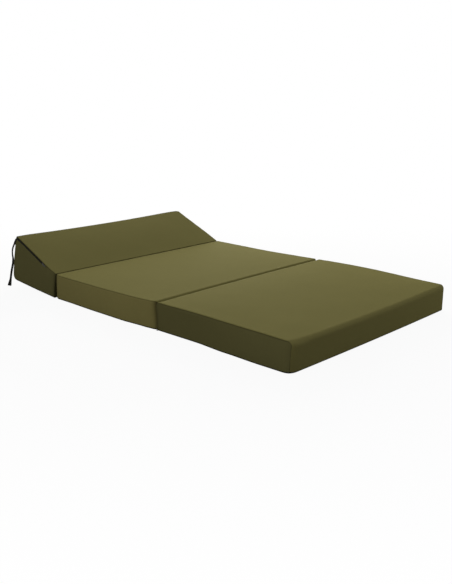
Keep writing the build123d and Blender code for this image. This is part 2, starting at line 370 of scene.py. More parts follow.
# Seams: how far they draw the cloth in, over what distance, and the padded ridge beside them
SEAM_ROLL = 0.0022
WEDGE_SEAM_ROLL = 0.0016
UPRIGHT_ROLL_SHARE = 0.3
SEAM_INSET = 0.0006
SEAM_INSET_REACH = 0.002
SEAM_ROLL_REACH = 0.007
SEAM_RIDGE = 0.0007
RIDGE_PLACE = 0.009
RIDGE_REACH = 0.005
RIM_GROOVE = 0.0005
GROOVE_REACH = 0.005
CREASE_STRIP_HEIGHT = HEAD_JOINT_HEIGHT - 0.0052

# Painted shade in the seams, the joints and along the crease: how fast it fades, where it is faint and how
# uneven it is along the crease; and painted shade on the foot's rounded upright corners and its end
CREASE_SEAM_REACH = 0.0022
CREASE_UNEVEN = 0.7
CREASE_UNEVEN_SIZE = 0.05
CREASE_STRETCH = np.array([1, 0.1, 0.1])
FOOT_SEAM_EASE = 8
REAR_SEAM_EASE = 2
MIDDLE_SEAM_EASE = 2.5
SEAM_FADE = 0.0013
SEAM_FAINT = 0.0002
CORNER_SHADE = 0.37
END_SHADE = 0.14
END_SHADE_REACH = 0.25

# Padding and unevenness of the cloth
GUSSET_BULGE = 0.0030
END_BELLY = 0.012
END_BELLY_LOW = 0.47
END_BELLY_FADE = 0.10
BULGE_REACH = 0.055
BASE_EDGE_RADIUS = 0.0055
RIPPLE = 0.0005
RIPPLE_SIZE = 0.11
RIPPLE_FREE_REACH = 0.03
PUCKER = 0.0006
PUCKER_SIZE = 0.028
PUCKER_REACH = 0.035
PUCKER_FREE_REACH = 0.004
PUCKER_STRETCH = np.array([0.3, 1, 1])
GUSSET_FREE_REACH = 0.006


class Corner:
    """An upright corner: its radius on both sides, where its seam runs and how fast the painted shade at its
    seam fades.
    """

    def __init__(self, near, far, seam, ease):
        self.near = near
        self.far = far
        self.seam = seam
        self.ease = ease
        self.faint = max(ease - 1, 0) * SEAM_FAINT


class Section:
    """The sizes of one section and the grids of points of its cover panels, in the section's own frame."""

    def __init__(self, name, outline, length, front, back, belly, roll, place, seed):
        self.name = name
        self.outline = outline
        self.length = length
        self.front = front
        self.back = back
        self.belly = belly
        self.roll = roll
        self.place = place
        self.seed = seed
        self.leans = outline is wedge_outline
        self.seam_ease = MIDDLE_SEAM_EASE if name == "middle" else 1
        self.plan_wrap()
        self.wrap = self.plain_wrap
        self.left = self.make_gusset(-1, 0)
        self.right = self.make_gusset(1, 0)
        self.make_base()
        moved = settled(self)
        self.finish_wrap(moved["wrap"])
        self.left = self.make_gusset(-1, moved["left"][:, :, 0])
        self.right = self.make_gusset(1, moved["right"][:, :, 0])
        self.make_base()

    def depth(self, up):
        """How far the head end lies from the foot end at one height."""
        if self.leans:
            share = up / WEDGE_REAR_HEIGHT
            return self.length - WEDGE_REAR_SETBACK * share + WEDGE_REAR_BULGE * 4 * share * (1 - share)
        return self.length + 0 * up

    def bellied(self, along, up, side):
        """Half the width at a place, with the belly of the sides."""
        share = along / self.length
        low, high = (eased(share, places, values) for places, values in self.belly[side])
        top = HEAD_JOINT_HEIGHT
        if self.leans:
            top = top + (WEDGE_REAR_HEIGHT - HEAD_JOINT_HEIGHT) * np.clip(share, 0, 1)
        climb = np.clip(up / top, 0, 1) ** 2
        return HALF_WIDTH + SIDE_BELLY * (low * (1 - climb) + high * climb)

    def ends(self, side, along, up):
        """Both upright corners of one side: radius, seam angle, distance to that end and the way inward."""
        ends = []
        for corner, distance, way in (self.front, along, 1), (self.back, self.depth(up) - along, -1):
            ends.append((corner.near if side < 0 else corner.far, corner.seam, distance, way))
        return ends

    def half_width(self, along, up, side):
        """Half the width at a place, with the belly and the rounding of the upright corners."""
        wide = self.bellied(along, up, side)
        for radius, seam, distance, _ in self.ends(side, along, up):
            held = np.clip(distance, radius * (1 - cos(seam)), radius)
            wide = wide - radius + np.sqrt(radius**2 - (radius - held) ** 2)
        return wide

    def shifted(self, side, x, full, along, up):
        """Places along the section, moved in behind its rounded upright corners."""
        moved = along
        for radius, seam, distance, way in self.ends(side, along, up):
            beyond = np.clip(np.abs(x) - (full - radius), 0, radius * sin(seam))
            inset = radius - np.sqrt(radius**2 - beyond**2)
            moved = moved + way * inset * (1 - eased(distance, [0, CORNER_FADE * radius], [0, 1]))
        return moved

    def plan_wrap(self):
        """The cover over the foot end, the top and the head end, as one grid without its seams."""
        parts = [wrap_parts(self.outline(*kind)) for kind in ((0,), (1,), (0, True))]
        lengths = [lengths_along([tuple(point) for point in part])[-1] for part in parts[0][:2]]
        wall, top = (graded(length, ALONG_STEP) / length for length in lengths)
        self.wall_count = len(wall)
        self.top_rows = slice(len(wall) - 1, len(wall) - 1 + len(top))
        shares = [wall, top, 1 - wall[::-1]]
        side_line, centre_line, corner_line = (
            np.concatenate([resampled(part[i], shares[i])[min(i, 1):] for i in range(3)]) for part in parts)
        self.down = lengths_along(side_line)
        across = graded(2 * HALF_WIDTH, ACROSS_STEP) / HALF_WIDTH - 1
        self.across = across
        share = (1 - across**2)[None, :, None]
        if self.name == "foot":
            off_corner = ((1 + across) * HALF_WIDTH - FOOT_ROLL_PLACE) / FOOT_ROLL_REACH
        else:
            off_corner = (1 - np.abs(across)) * HALF_WIDTH / CORNER_REACH
        near = np.exp(-(off_corner**2))[None, :, None]
        lines = side_line[:, None] * (1 - share) + centre_line[:, None] * share
        lines = lines * (1 - near) + corner_line[:, None] * near
        along, up = lines[:, :, 0].copy(), lines[:, :, 1]
        if self.name == "foot":
            belly = END_BELLY * (END_BELLY_LOW + (1 - END_BELLY_LOW) * np.clip(up / FOOT_END_HEIGHT, 0, 1))
            along -= belly * (1 - eased(along, [0, END_BELLY_FADE], [0, 1])) * (1 - across**2)
        if self.leans:
            along += (self.depth(up) - self.length + WEDGE_REAR_SETBACK * up / WEDGE_REAR_HEIGHT) * eased(
                along, [self.length - END_BELLY_FADE, self.length], [0, 1])
        x = np.zeros(along.shape)
        edges = np.zeros(along.shape)
        for side, column, mine in ((-1, 0, across < 0), (1, -1, across >= 0)):
            full = self.bellied(along[:, column], up[:, column], side)
            edge_along = self.shifted(side, full, full, along[:, column], up[:, column])
            edge = self.half_width(edge_along, up[:, column], side)[:, None]
            full = self.bellied(edge_along, up[:, column], side)[:, None]
            edges[:, mine] = edge
            x[:, mine] = across[mine] * edge
            along[:, mine] = self.shifted(side, x[:, mine], full, along[:, mine], up[:, mine])
        self.plain_wrap = np.stack([x, along, up], 2)
        self.edge = edges

    def finish_wrap(self, moved):
        """The settled cover with its seams, ridges and puckers, and the painted shade at its seams, crease
        and corners.
        """
        points = self.plain_wrap + moved
        normals = grid_normals(points)
        to_seam = (1 - np.abs(self.across))[None, :] * self.edge
        lying = np.clip(normals[:, :, 2], 0, 1)
        to_rim = np.minimum(self.down, self.down[-1] - self.down)[:, None]
        rolled = UPRIGHT_ROLL_SHARE + (1 - UPRIGHT_ROLL_SHARE) * lying
        move = -self.roll * rolled * bump_share(to_seam, SEAM_ROLL_REACH)
        move += SEAM_RIDGE * lying * np.exp(-(((to_seam - RIDGE_PLACE) / RIDGE_REACH) ** 2))
        move -= RIM_GROOVE * bump_share(to_rim, GROOVE_REACH)
        free = 1 - bump_share(to_rim, RIPPLE_FREE_REACH)
        move += RIPPLE * free * noise_field(points, RIPPLE_SIZE, self.seed)
        puckers = PUCKER * free * np.exp(-to_seam / PUCKER_REACH)
        puckers *= 1 - bump_share(to_seam, PUCKER_FREE_REACH)
        move += puckers * noise_field(points * PUCKER_STRETCH, PUCKER_SIZE, self.seed + 1)
        points = points + normals * move[:, :, None]
        inset = SEAM_INSET * lying * bump_share(to_seam, SEAM_INSET_REACH)
        points[:, :, 0] -= np.sign(self.across)[None, :] * inset
        self.wrap = points
        # Painted shade in the seams: on upright corners each corner's ease sets its reach, and it is fainter
        # where the ease is large
        in_front = points[:, :, 1] < self.length / 2
        ease = np.where(in_front, self.front.ease, self.back.ease)
        faint = np.where(in_front, self.front.faint, self.back.faint) * (1 - lying)
        seam = np.minimum(to_seam * (lying * self.seam_ease + ease * (1 - lying)) + faint, to_rim)
        # Painted shade along the crease at the wedge's foot end, uneven along its length
        if self.name == "wedge":
            uneven = noise_field(points * CREASE_STRETCH, CREASE_UNEVEN_SIZE, self.seed + 4)
            uneven = 1 + CREASE_UNEVEN * uneven
            seam = np.minimum(seam, np.clip(np.abs(points[:, :, 1]) - CREASE_SEAM_REACH * uneven, 0, None))
        self.wrap_painted_shade = seam_painted_shade(seam)
        # Painted shade on the foot's rounded upright corners and on its end face, strongest near the near
        # corner
        if self.name == "foot":
            turned = np.clip(np.abs(normals[:, :, 0]) / sin(self.front.seam), 0, 1)
            near = np.exp(-(1 + self.across) * HALF_WIDTH / END_SHADE_REACH)[None, :]
            shade = (CORNER_SHADE * turned + END_SHADE * near) * (1 - lying) ** 2
            self.wrap_painted_shade = np.maximum(self.wrap_painted_shade, shade)

    def make_gusset(self, side, moved):
        """One side panel, whose edges lie on the wrap's seam."""
        column = 0 if side < 0 else -1
        seam = self.wrap[:, column]
        top = seam[self.top_rows]
        left = seam[: self.wall_count]
        right = seam[::-1][: self.wall_count]
        shares = lengths_along(top)
        bottom = left[0] + (right[0] - left[0]) * (shares / shares[-1])[:, None]
        bottom[:, 2] = RIM
        low = self.half_width(bottom[:, 1], bottom[:, 2], side) - RIM_GROOVE
        bottom[1:-1, 0] = side * low[1:-1]
        points = patch(bottom, top, left, right)
        along = points[:, :, 1]
        up = points[:, :, 2]
        distances = [along - left[:, None, 1], right[:, None, 1] - along, up - RIM, top[None, :, 2] - up]
        to_seam = np.clip(np.minimum.reduce(distances), 0, None)
        bulge = GUSSET_BULGE * (1 - bump_share(to_seam, BULGE_REACH))
        ripple = RIPPLE * noise_field(points, RIPPLE_SIZE / 2, self.seed + 2)
        pucker = PUCKER * np.exp(-to_seam / PUCKER_REACH) * noise_field(points, PUCKER_SIZE, self.seed + 3)
        free = 1 - bump_share(to_seam, GUSSET_FREE_REACH)
        swell = bulge + (ripple + pucker) * free - SEAM_INSET * bump_share(to_seam, GROOVE_REACH)
        # Painted shade in the panel's seams, spreading wide at the joints and faint on the foot's end corner
        upright = np.minimum(
            distances[0] * self.front.ease + self.front.faint,
            distances[1] * self.back.ease + self.back.faint)
        seam = np.clip(np.minimum.reduce([upright, distances[2], distances[3] * self.seam_ease]), 0, None)
        inner = (slice(1, -1), slice(1, -1))
        points[:, :, 0][inner] = (side * (self.half_width(along, up, side) + swell) + moved)[inner]
        return {"points": points, "shade": seam_painted_shade(seam), "side": side}

    def make_base(self):
        """The panel underneath, with its low rim up the walls."""
        left = self.left["points"][0]
        right = self.right["points"][0]
        points = patch(self.wrap[0], self.wrap[-1], left, right)
        to_side = np.minimum(points[:, :, 0] - left[:, None, 0], right[:, None, 0] - points[:, :, 0])
        corners = self.outline(0)
        front = np.clip(points[:, :, 1] - self.wrap[0][None, :, 1], 0, None)
        back = np.clip(self.wrap[-1][None, :, 1] - points[:, :, 1], 0, None)
        rise = 1 - self.heel_rise(np.clip(to_side, 0, None), BASE_EDGE_RADIUS)
        rise *= 1 - self.heel_rise(front, max(corners[0][2], BASE_EDGE_RADIUS))
        rise *= 1 - self.heel_rise(back, max(corners[-1][2], BASE_EDGE_RADIUS))
        points[:, :, 2] = RIM * (1 - rise)
        self.base = points

    def heel_rise(self, distance, radius):
        """The share of the rim's height at a distance in from the rim's upper edge."""
        start = radius - sqrt(radius**2 - (radius - RIM) ** 2)
        inside = np.clip(radius - start - distance, 0, None)
        return (radius - np.sqrt(np.clip(radius**2 - inside**2, 0, None))) / RIM


# Settling of the covers: a cloth simulation on coarser grids


SETTLE_STEP = 0.018
SETTLE_FRAMES = 20
SETTLE_PRESSURE = 0.03
SETTLE_CAP = 0.006
FOAM_GIVE = 0.0004
WELD_DIGITS = 6
RIM_HOLD = 0.03
RIM_HOLD_FADE = 0.022
JOINT_HOLD = 0.012
JOINT_HOLD_FADE = 0.008
CLOTH_SETTINGS = {
    "quality": 6,
    "mass": 0.25,
    "tension_stiffness": 80,
    "compression_stiffness": 80,
    "shear_stiffness": 40,
    "bending_stiffness": 5,
    "air_damping": 5,
    "vertex_group_mass": "held",
    "pin_stiffness": 1,
    "use_pressure": True,
    "uniform_pressure_force": SETTLE_PRESSURE,
}


def coarse(places):
    """The numbers of places at least a step apart, with the first and the last."""
    kept = [0]
    for i, place in enumerate(places):
        if place - places[kept[-1]] >= SETTLE_STEP and places[-1] - place > SETTLE_STEP / 2:
            kept.append(i)
    return np.array(kept + [len(places) - 1])


def welded(grids):
    """One closed mesh from grids that share their edges: points, faces and where each grid's points went."""
    points = np.concatenate([grid.reshape(-1, 3) for grid, flip in grids])
    keys = np.round(points, WELD_DIGITS)
    _, first, places = np.unique(keys, axis=0, return_index=True, return_inverse=True)
    places = places.reshape(-1)
    faces = []
    start = 0
    for grid, flip in grids:
        rows, columns = grid.shape[:2]
        for face in grid_faces(rows, columns, start, flip):
            corners = list(dict.fromkeys(int(places[k]) for k in face))
            if len(corners) > 2:
                faces.append(corners)
        start += rows * columns
    return points[first], faces, places


def grid_faces(rows, columns, start=0, flip=False):
    faces = []
    for i in range(rows - 1):
        for j in range(columns - 1):
            a = start + i * columns + j
            face = (a, a + 1, a + columns + 1, a + columns)
            faces.append(face[::-1] if flip else face)
    return faces


def section_grids(section):
    return [
        (section.wrap, False),
        (section.left["points"], True),
        (section.right["points"], False),
        (section.base, True),
    ]


def settled(section):
    """How far the stuffed cover's points move when its fabric settles over the foam."""
    names = ("wrap", "left", "right", "base")
    full = section_grids(section)
    down = section.down
    heights = down[: section.wall_count]
    reaches = down[section.top_rows]
    widths = (section.across + 1) * HALF_WIDTH
    walls, tops, columns = coarse(heights), coarse(reaches), coarse(widths)
    rows = np.concatenate([walls, section.wall_count - 1 + tops[1:], len(down) - 1 - walls[::-1][1:]])
    picks = [(rows, columns), (walls, tops), (walls, tops), (tops, columns)]
    spans = [(down, widths), (heights, reaches), (heights, reaches), (reaches, widths)]
    grids = [(grid[np.ix_(*pick)], flip) for (grid, flip), pick in zip(full, picks)]
    points, faces, where = welded(grids)
    shift = (simulated(section, points, faces) - points)[where]
    moved = {}
    start = 0
    for name, (grid, flip), pick, span in zip(names, grids, picks, spans):
        count = grid.shape[0] * grid.shape[1]
        part = shift[start : start + count].reshape(grid.shape)
        start += count
        for places, kept in zip(span, pick):
            part = hermite(places[kept], part, places).swapaxes(0, 1)
        moved[name] = part
    return moved


def vertex_normals(mesh):
    normals = np.zeros(len(mesh.vertices) * 3, np.float32)
    mesh.vertex_normals.foreach_get("vector", normals)
    return normals.reshape(-1, 3)


def simulated(section, points, faces):
    """The points after a short cloth simulation with a little air pressure, and with its reach held back."""
    mesh = bpy.data.meshes.new("settling")
    mesh.from_pydata(points.tolist(), [], faces)
    mesh.update()
    outward = vertex_normals(mesh)
    cloth = linked("settling", mesh)
    scene = bpy.context.scene
    held = cloth.vertex_groups.new(name="held")
    weights = np.clip((RIM_HOLD - points[:, 2]) / RIM_HOLD_FADE, 0, 1)
    joints = []
    if section.name != "foot":
        joints.append(points[:, 1])
    if section.name != "wedge":
        joints.append(section.depth(points[:, 2]) - points[:, 1])
    for distance in joints:
        weights = np.maximum(weights, np.clip((JOINT_HOLD - distance) / JOINT_HOLD_FADE, 0, 1))
    for i, weight in enumerate(weights):
        if weight > 0:
            held.add([i], float(weight), "REPLACE")
    fabric = cloth.modifiers.new("fabric", "CLOTH")
    for name, value in CLOTH_SETTINGS.items():
        setattr(fabric.settings, name, value)
    fabric.settings.effector_weights.gravity = 0
    fabric.collision_settings.use_collision = False
    for frame_number in range(1, SETTLE_FRAMES + 1):
        scene.frame_set(frame_number)
    result = cloth.evaluated_get(bpy.context.evaluated_depsgraph_get())
    after = np.array([tuple(v.co) for v in result.to_mesh().vertices])
    result.to_mesh_clear()
    bpy.data.objects.remove(cloth)
    bpy.data.meshes.remove(mesh)
    scene.frame_set(1)
    shift = after - points
    raised = (shift * outward).sum(1, keepdims=True)
    shift -= outward * np.minimum(raised + FOAM_GIVE, 0)
    size = np.linalg.norm(shift, axis=1, keepdims=True)
    return points + shift * (SETTLE_CAP * np.tanh(size / SETTLE_CAP) / np.maximum(size, 1e-9))


FOOT_PLACE = Matrix.Translation((0, FOOT_END, 0))
MIDDLE_PLACE = Matrix.Translation((0, FOLD_LINE + JOINT_GAP / 2, 0))
WEDGE_PLACE = (
    Matrix.Translation((0, HEAD_LINE, WEDGE_HINGE_HEIGHT))
    @ Matrix.Rotation(WEDGE_TILT, 4, "X")
    @ Matrix.Translation((0, JOINT_GAP / 2, -WEDGE_HINGE_HEIGHT))
)
REAR_SEAM_ANGLE = radians(45)


def joint_corner(near, far):
    return Corner(near, far, JOINT_SEAM_ANGLE, JOINT_SEAM_EASE)


foot = Section(
    "foot", foot_outline, FOOT_LENGTH,
    Corner(FOOT_NEAR_CORNER_RADIUS, FOOT_FAR_CORNER_RADIUS, FOOT_SEAM_ANGLE, FOOT_SEAM_EASE),
    joint_corner(FOLD_FOOT_CORNER_RADIUS, FOLD_FOOT_CORNER_RADIUS),
    FOOT_BELLY, SEAM_ROLL, FOOT_PLACE, seed=1)
middle = Section(
    "middle", middle_outline, MIDDLE_LENGTH,
    joint_corner(FOLD_MIDDLE_NEAR_RADIUS, FOLD_MIDDLE_FAR_RADIUS),
    joint_corner(CREASE_MIDDLE_CORNER_RADIUS, CREASE_MIDDLE_CORNER_RADIUS),
    MIDDLE_BELLY, SEAM_ROLL, MIDDLE_PLACE, seed=5)
wedge = Section(
    "wedge", wedge_outline, WEDGE_LENGTH,
    joint_corner(CREASE_WEDGE_CORNER_RADIUS, CREASE_WEDGE_CORNER_RADIUS),
    Corner(WEDGE_CORNER_RADIUS, WEDGE_CORNER_RADIUS, REAR_SEAM_ANGLE, REAR_SEAM_EASE),
    WEDGE_BELLY, WEDGE_SEAM_ROLL, WEDGE_PLACE, seed=9)


# Materials


def feed(tree, made, inputs):
    """Sets a shader node's inputs, by name or number, to values or to other nodes' outputs."""
    for name, value in inputs.items():
        socket = made.inputs[name]
        if isinstance(value, bpy.types.NodeSocket):
            tree.links.new(value, socket)
        else:
            socket.default_value = value


def node(tree, kind, inputs=(), **settings):
    """A new shader node with its settings and its inputs."""
    made = tree.nodes.new(kind)
    for name, value in settings.items():
        setattr(made, name, value)
    feed(tree, made, dict(inputs))
    return made


def maths(tree, operation, a, b=0.0, c=0.5):
    """The result of a node that reckons with numbers."""
    return node(tree, "ShaderNodeMath", {0: a, 1: b, 2: c}, operation=operation).outputs[0]


def noisy(tree, place, scale, detail):
    """Soft noise at a place, between 0 and 1."""
    return node(tree, "ShaderNodeTexNoise", {"Vector": place, "Scale": scale, "Detail": detail}).outputs[0]


def mixed(tree, share, a, b):
    """Colour a where share is 0 and b where it is 1."""
    a, b = (ink if isinstance(ink, bpy.types.NodeSocket) else (*ink, 1) for ink in (a, b))
    return node(tree, "ShaderNodeMix", {0: share, 6: a, 7: b}, data_type="RGBA").outputs[2]


def new_material(name, uv_map=None):
    """A material, its node tree, its shader and its coordinates: of the piece, or of one of its UV maps."""
    material = bpy.data.materials.new(name)
    material.use_nodes = True
    tree = material.node_tree
    if uv_map:
        place = node(tree, "ShaderNodeUVMap", uv_map=uv_map).outputs[0]
    else:
        place = node(tree, "ShaderNodeTexCoord").outputs["Object"]
    return material, tree, tree.nodes["Principled BSDF"], place


def scaled(colour, share):
    """The same colour, darker or lighter."""
    return tuple(channel * share for channel in colour)


SHEEN_TINT = (0.95, 0.85, 0.22, 1)
# How dark the cloth gets at full painted shade, as a share of its colour
PAINTED_GROOVE_SHADE = 0.25
YARN_SCALES = ((14, 420, 1), (420, 14, 1))
THREAD_TONE = 0.35
YARN_TONE = 0.45
PATCH_TONE = 0.20
PATCH_SCALE = 5.5
WEAVE_RELIEF = 0.00018
DOT_SCALE = 110.0
DOT_SIZE = 0.24
DOT_SHADE = 0.5
DOT_HEIGHT = 3.0


def woven(name, colour, thread=0.0011, contrast=0.16, bump=0.35, sheen=0.085, gloss=0.02, dots=False):
    """A plain-woven fabric: crossing threads, uneven yarn, slow changes of tone, and painted shade from each
    vertex's seam attribute.
    """
    material, tree, shader, place = new_material(name, "weave")
    parts = node(tree, "ShaderNodeSeparateXYZ", {0: place}).outputs
    waves = [maths(tree, "SINE", maths(tree, "MULTIPLY", part, 2 * pi / thread)) for part in parts[:2]]
    height = maths(tree, "MULTIPLY_ADD", maths(tree, "MULTIPLY", *waves), 0.5, 0.5)
    yarns = []
    for stretch in YARN_SCALES:
        drawn = node(tree, "ShaderNodeVectorMath", {0: place, 1: stretch}, operation="MULTIPLY").outputs[0]
        yarns.append(noisy(tree, drawn, 1.0, 2.0))
    uneven = maths(tree, "MULTIPLY", maths(tree, "ADD", *yarns), 0.5)
    threads = maths(tree, "MULTIPLY", height, THREAD_TONE)
    tone = maths(tree, "ADD", threads, maths(tree, "MULTIPLY", uneven, YARN_TONE))
    tone = maths(tree, "MULTIPLY_ADD", noisy(tree, place, PATCH_SCALE, 3.0), PATCH_TONE, tone)
    cloth = mixed(tree, tone, scaled(colour, 1 - contrast), scaled(colour, 1 + contrast))
    # Painted shade: the seam attribute darkens the cloth towards the groove colour in seams, joints, the
    # crease and on the foot's turned corners
    seam = node(tree, "ShaderNodeAttribute", attribute_name="seam").outputs["Fac"]
    cloth = mixed(tree, seam, cloth, scaled(colour, PAINTED_GROOVE_SHADE))
    if dots:
        spots = node(tree, "ShaderNodeTexVoronoi", {"Vector": place, "Scale": DOT_SCALE, "Randomness": 0.0})
        spot = maths(tree, "LESS_THAN", spots.outputs["Distance"], DOT_SIZE)
        cloth = mixed(tree, spot, cloth, scaled(colour, DOT_SHADE))
        height = maths(tree, "MULTIPLY_ADD", spot, DOT_HEIGHT, height)
    relief = maths(tree, "ADD", height, uneven)
    lumps = node(tree, "ShaderNodeBump", {"Height": relief, "Strength": bump, "Distance": WEAVE_RELIEF})
    feed(tree, shader, {
        "Base Color": cloth,
        "Roughness": maths(tree, "MULTIPLY_ADD", uneven, 0.12, 0.84),
        "Normal": lumps.outputs[0],
        "Sheen Weight": sheen,
        "Sheen Roughness": 0.45,
        "Sheen Tint": SHEEN_TINT,
        "Specular IOR Level": gloss,
    })
    return material


FOAM_SHADES = ((0.78, 0.70, 0.50), (0.86, 0.80, 0.62))
PORE_SHADE = (0.55, 0.47, 0.30)
ENAMEL_SHADES = ((0.022, 0.022, 0.020), (0.16, 0.155, 0.14))
WEAR_FROM = 0.66
NYLON_SHADES = ((0.007, 0.007, 0.006), (0.014, 0.014, 0.011))


def foam_material():
    """Open-cell foam, pale yellow with fine pores."""
    material, tree, shader, place = new_material("foam")
    pores = node(tree, "ShaderNodeTexVoronoi", {"Vector": place, "Scale": 500.0}).outputs["Distance"]
    pale = mixed(tree, noisy(tree, place, 8.0, 3.0), *FOAM_SHADES)
    lumps = node(tree, "ShaderNodeBump", {"Height": pores, "Strength": 0.5, "Distance": 0.0005})
    feed(tree, shader, {
        "Base Color": mixed(tree, pores, PORE_SHADE, pale),
        "Roughness": 0.95,
        "Normal": lumps.outputs[0],
    })
    return material


def enamel_material():
    """Black enamelled metal, worn lighter in scratches."""
    material, tree, shader, place = new_material("zip_enamel")
    wear = noisy(tree, place, 900.0, 4.0)
    worn = maths(tree, "GREATER_THAN", wear, WEAR_FROM)
    feed(tree, shader, {
        "Base Color": mixed(tree, worn, *ENAMEL_SHADES),
        "Metallic": 0.6,
        "Roughness": maths(tree, "MULTIPLY_ADD", wear, 0.3, 0.22),
    })
    return material


def plastic_material():
    """Near-black moulded nylon of the zip's coil."""
    material, tree, shader, place = new_material("zip_nylon")
    shade = noisy(tree, place, 300.0, 2.0)
    feed(tree, shader, {
        "Base Color": mixed(tree, shade, *NYLON_SHADES),
        "Roughness": maths(tree, "MULTIPLY_ADD", shade, 0.2, 0.42),
        "Specular IOR Level": 0.2,
    })
    return material


OLIVE = (0.185, 0.166, 0.056)
# The side panels' olives are darker than their cloth, as painted shade on the upright sides; the middle's
# sides are a lighter cloth than those of the foot and the wedge
SHADED_SIDE_OLIVE = (0.115, 0.105, 0.0405)
SHADED_MIDDLE_SIDE_OLIVE = (0.218, 0.189, 0.067)
NEAR_BLACK = (0.010, 0.010, 0.008)
TAPE_BLACK = (0.009, 0.009, 0.007)
TIE_BLACK = (0.024, 0.023, 0.019)
# The joint cloth is the cover's olive darkened by this share: painted shade deep in the crease
JOINT_PAINTED_SHADE = 0.3

cover_cloth = woven("cover_cloth", OLIVE)
side_cloth = woven("side_cloth", SHADED_SIDE_OLIVE)
middle_side_cloth = woven("middle_side_cloth", SHADED_MIDDLE_SIDE_OLIVE)
base_cloth = woven("base_cloth", NEAR_BLACK, sheen=0.0, gloss=0.04, dots=True)
shaded_joint_cloth = woven("shaded_joint_cloth", scaled(OLIVE, JOINT_PAINTED_SHADE))
tape_cloth = woven("tape_cloth", TAPE_BLACK, thread=0.0006, sheen=0.02, gloss=0.05)
tie_cloth = woven("tie_cloth", TIE_BLACK, thread=0.0006, sheen=0.02, gloss=0.05)
foam_cells = foam_material()
enamel = enamel_material()
nylon = plastic_material()


# Meshes from grids


def mesh_object(name, vertices, faces, material, place=Matrix.Identity(4), smooth=True):
    mesh = bpy.data.meshes.new(name)
    mesh.from_pydata([tuple(v) for v in vertices], [], [tuple(f) for f in faces])
    mesh.transform(place)
    mesh.materials.append(material)
    mesh.update()
    if smooth:
        mesh.polygons.foreach_set("use_smooth", [True] * len(mesh.polygons))
    return linked(name, mesh)


def rim_loop(rows, columns):
    """The indices round a grid's edge, in order."""
    top = list(range(columns))
    right = [i * columns + columns - 1 for i in range(1, rows)]
    bottom = [(rows - 1) * columns + j for j in range(columns - 2, -1, -1)]
    left = [i * columns for i in range(rows - 2, 0, -1)]
    return top + right + bottom + left


def cloth_panel(name, points, uv, shade, material, place=Matrix.Identity(4), thickness=FABRIC, flip=False):
    """A closed shell of fabric: the grid as its outside, and the same grid moved in by its thickness."""
    rows, columns = points.shape[:2]
    normals = grid_normals(points) * (-1 if flip else 1)
    inner = points - normals * thickness
    vertices = np.concatenate([points.reshape(-1, 3), inner.reshape(-1, 3)])
    count = rows * columns
    faces = grid_faces(rows, columns, 0, flip)
    faces += grid_faces(rows, columns, count, not flip)
    loop = rim_loop(rows, columns)
    for a, b in zip(loop, loop[1:] + loop[:1]):
        face = (a, a + count, b + count, b)
        faces.append(face[::-1] if flip else face)
    made = mesh_object(name, vertices, faces, material, place)
    weave(made, np.tile(uv.reshape(-1, 2), (2, 1)), np.tile(shade.reshape(-1), 2))
    return made


def weave(made, coordinates, shade_amounts):
    """For each vertex, its coordinates in the weave in metres and how much painted shade it gets, from 0 to
    1, kept as its seam attribute.
    """
    layer = made.data.uv_layers.new(name="weave")
    corner = np.zeros(len(made.data.loops), np.int32)
    made.data.loops.foreach_get("vertex_index", corner)
    layer.data.foreach_set("uv", np.asarray(coordinates, np.float32)[corner].ravel())
    seam = made.data.attributes.new("seam", "FLOAT", "POINT")
    seam.data.foreach_set("value", np.asarray(shade_amounts, np.float32))


def dress(made, body, slot, *nodes):
    """Rides the piece on its body and hides the CAD nodes that it stands for; its slot is not used."""
    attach(made, body)
    if nodes:
        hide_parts(*nodes)
    return made


REAR_SPLIT_ROWS = 6
BASE_FABRIC = 0.0011
FOAM_INSET = 0.0035


def make_section(section, side_material):
    """The panels of one section's cover, with the foam in it."""
    name = section.name
    body = name + "_section"
    rows = len(section.down)
    if section.leans:
        split = section.top_rows.stop + 1 + REAR_SPLIT_ROWS
        wraps = [("slope_fabric", "slope_cover", 0, split + 1), ("rear_fabric", "rear_panel", split, rows)]
    else:
        wraps = [("cover_fabric", "cover", 0, rows)]
    across = section.across * HALF_WIDTH
    uv = np.stack(np.broadcast_arrays(across[None, :], section.down[:, None]), 2)
    for piece, cad, first, last in wraps:
        made = cloth_panel(
            name + "_" + piece, section.wrap[first:last], uv[first:last], section.wrap_painted_shade[first:last],
            cover_cloth, section.place)
        dress(made, body, "cover_fabric", name + "_" + cad)
    for side, gusset in (("_left", section.left), ("_right", section.right)):
        points = gusset["points"]
        made = cloth_panel(
            name + side + "_fabric", points, points[:, :, 1:], gusset["shade"], side_material,
            section.place, flip=gusset["side"] < 0)
        dress(made, body, "side_fabric", name + side + "_gusset")
    points = section.base
    made = cloth_panel(
        name + "_base_fabric", points, points[:, :, :2], np.zeros(points.shape[:2]), base_cloth,
        section.place, BASE_FABRIC, flip=True)
    dress(made, body, "base_fabric", name + "_base")
    foam = dress(make_foam(section), body, "foam", name + "_core")


def make_foam(section):
    """The foam block, a closed crowned form just inside the cover."""
    points, faces, _ = welded(section_grids(section))
    made = mesh_object(section.name + "_foam", points, faces, foam_cells, section.place)
    mesh = made.data
    places = np.zeros(len(mesh.vertices) * 3, np.float32)
    mesh.vertices.foreach_get("co", places)
    mesh.vertices.foreach_set("co", places - vertex_normals(mesh).ravel() * FOAM_INSET)
    mesh.update()
    return made


make_section(foot, side_cloth)
make_section(middle, middle_side_cloth)
make_section(wedge, side_cloth)


# Strips of fabric that join the sections


STRIP_END_INSET = 0.006
STRIP_COLUMNS = 80
STRIP_THICKNESS = 0.0008
FOLD_STRIP_LIFT = 0.0001


